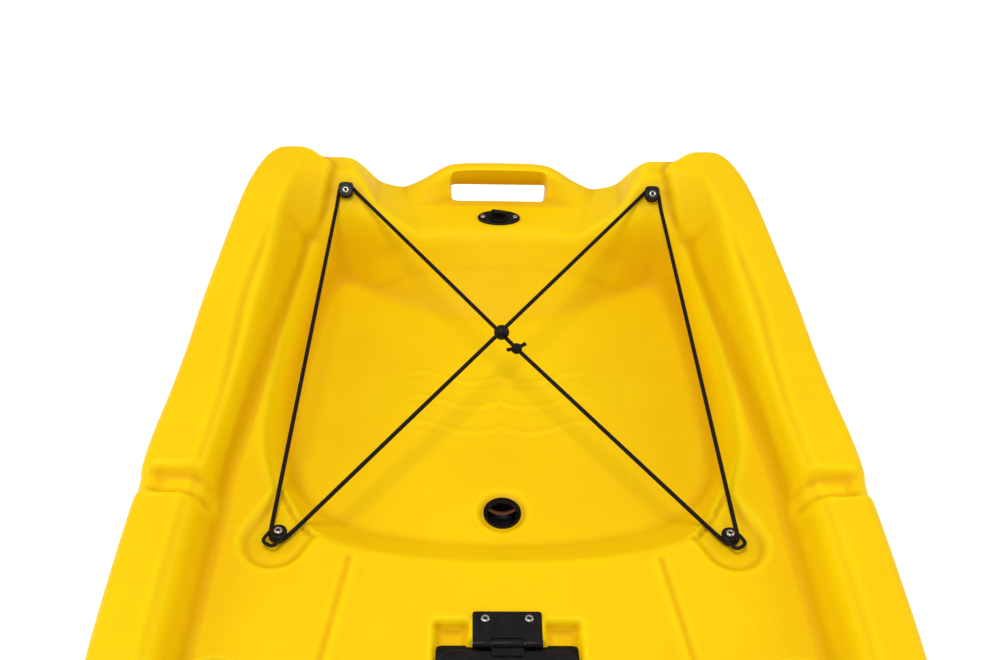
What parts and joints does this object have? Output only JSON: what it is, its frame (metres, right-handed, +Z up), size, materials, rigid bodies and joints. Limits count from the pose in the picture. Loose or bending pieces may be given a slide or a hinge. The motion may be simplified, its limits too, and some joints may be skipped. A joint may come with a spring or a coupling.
{
  "type": "sit-on-top kayak",
  "caption": "Sit-on-top kayak with a lashed stern tank well, flip-up hatch, moulded seat and foot wells, drain plug, scupper plugs and swing handles.",
  "frame": {"origin": "on the ground under the middle of the hull's length and beam", "axes": "+X to the bow, +Y to port, +Z up"},
  "size_m": [2.68, 0.78, 0.329],
  "materials": {
    "hull_plastic": "rotomoulded polyethylene, satin with a fine orange-peel grain",
    "black_plastic": "glass-filled nylon, injection moulded, fine spark texture",
    "black_rubber": "soft moulded rubber, slightly glossy",
    "seal_rubber": "matt EPDM seal",
    "cord": "braided polyester sheath over a rubber core",
    "steel": "A2 stainless steel, as rolled",
    "bail_steel": "stainless rod, satin",
    "brass": "turned brass",
    "foam": "closed-cell polyethylene foam"
  },
  "bodies": {
    "hull": {"bungee_bead": "black_plastic", "bungee_cord": "cord", "bungee_knot": "cord", "drain_flange": "black_plastic", "drain_screws": "steel", "foam_pillar_aft": "foam", "foam_pillar_fore": "foam", "hatch_rim": "black_plastic", "hatch_tub": "black_plastic", "hinge_inserts": "brass", "hinge_pin": "steel", "hinge_plate": "black_plastic", "hinge_screws": "steel", "hull_shell": "hull_plastic", "lashing_hook_front_port": "black_plastic", "lashing_hook_front_starboard": "black_plastic", "lashing_hook_inserts": "brass", "lashing_hook_rear_port": "black_plastic", "lashing_hook_rear_starboard": "black_plastic", "lashing_hook_screws": "steel", "seat_eye_aft_port": "black_plastic", "seat_eye_aft_starboard": "black_plastic", "seat_eye_fore_port": "black_plastic", "seat_eye_fore_starboard": "black_plastic", "seat_eye_inserts": "brass", "seat_eye_screws": "steel", "side_bracket_inserts": "brass", "side_bracket_port_aft": "black_plastic", "side_bracket_port_fore": "black_plastic", "side_bracket_screws": "steel", "side_bracket_starboard_aft": "black_plastic", "side_bracket_starboard_fore": "black_plastic"},
    "lid": {"hatch_lid": "black_plastic", "hatch_gasket": "seal_rubber"},
    "latch": {"hatch_latch": "black_plastic"},
    "drain_seal": {"drain_gasket": "seal_rubber"},
    "drain_cap": {"drain_plug": "black_plastic"},
    "scupper_plug_foot_port": {"scupper_plug_foot_port": "black_rubber"},
    "scupper_plug_foot_starboard": {"scupper_plug_foot_starboard": "black_rubber"},
    "scupper_plug_seat_port": {"scupper_plug_seat_port": "black_rubber"},
    "scupper_plug_seat_starboard": {"scupper_plug_seat_starboard": "black_rubber"},
    "scupper_plug_tank_well": {"scupper_plug_tank_well": "black_rubber"},
    "bail_port": {"side_bail_port": "bail_steel", "side_grip_port": "black_rubber"},
    "bail_starboard": {"side_bail_starboard": "bail_steel", "side_grip_starboard": "black_rubber"}
  },
  "joints": [
    {"name": "lid_hinge", "type": "hinge", "parent": "hull", "child": "lid", "pos_m": [-0.643, 0, 0.217], "axis": [0, -1, 0], "range_deg": [0, 105]},
    {"name": "latch_turn", "type": "hinge", "parent": "lid", "child": "latch", "pos_m": [-0.491, 0, 0.215], "axis": [0, 0, 1], "range_deg": [-90, 0]},
    {"name": "drain_unscrew", "type": "slide", "parent": "hull", "child": "drain_seal", "axis": [0, 0, 1], "range_m": [0, 0.024]},
    {"name": "drain_turn", "type": "hinge", "parent": "drain_seal", "child": "drain_cap", "pos_m": [-1.269, 0, 0.228], "axis": [0, 0, 1], "range_deg": [0, 2160]},
    {"name": "plug_pull_foot_port", "type": "slide", "parent": "hull", "child": "scupper_plug_foot_port", "axis": [0, 0, 1], "range_m": [0, 0.06]},
    {"name": "plug_pull_foot_starboard", "type": "slide", "parent": "hull", "child": "scupper_plug_foot_starboard", "axis": [0, 0, 1], "range_m": [0, 0.06]},
    {"name": "plug_pull_seat_port", "type": "slide", "parent": "hull", "child": "scupper_plug_seat_port", "axis": [0, 0, 1], "range_m": [0, 0.06]},
    {"name": "plug_pull_seat_starboard", "type": "slide", "parent": "hull", "child": "scupper_plug_seat_starboard", "axis": [0, 0, 1], "range_m": [0, 0.06]},
    {"name": "plug_pull_tank_well", "type": "slide", "parent": "hull", "child": "scupper_plug_tank_well", "axis": [0, 0, 1], "range_m": [0, 0.06]},
    {"name": "bail_swing_port", "type": "hinge", "parent": "hull", "child": "bail_port", "pos_m": [0.06, 0.36993, 0.23], "axis": [1, 0, 0], "range_deg": [0, 100]},
    {"name": "bail_swing_starboard", "type": "hinge", "parent": "hull", "child": "bail_starboard", "pos_m": [0.06, -0.36993, 0.23], "axis": [-1, 0, 0], "range_deg": [0, 100]}
  ],
  "couplings": [
    {"joint": "drain_turn", "follows": "drain_unscrew", "rad_per_m": 1570.8}
  ]
}
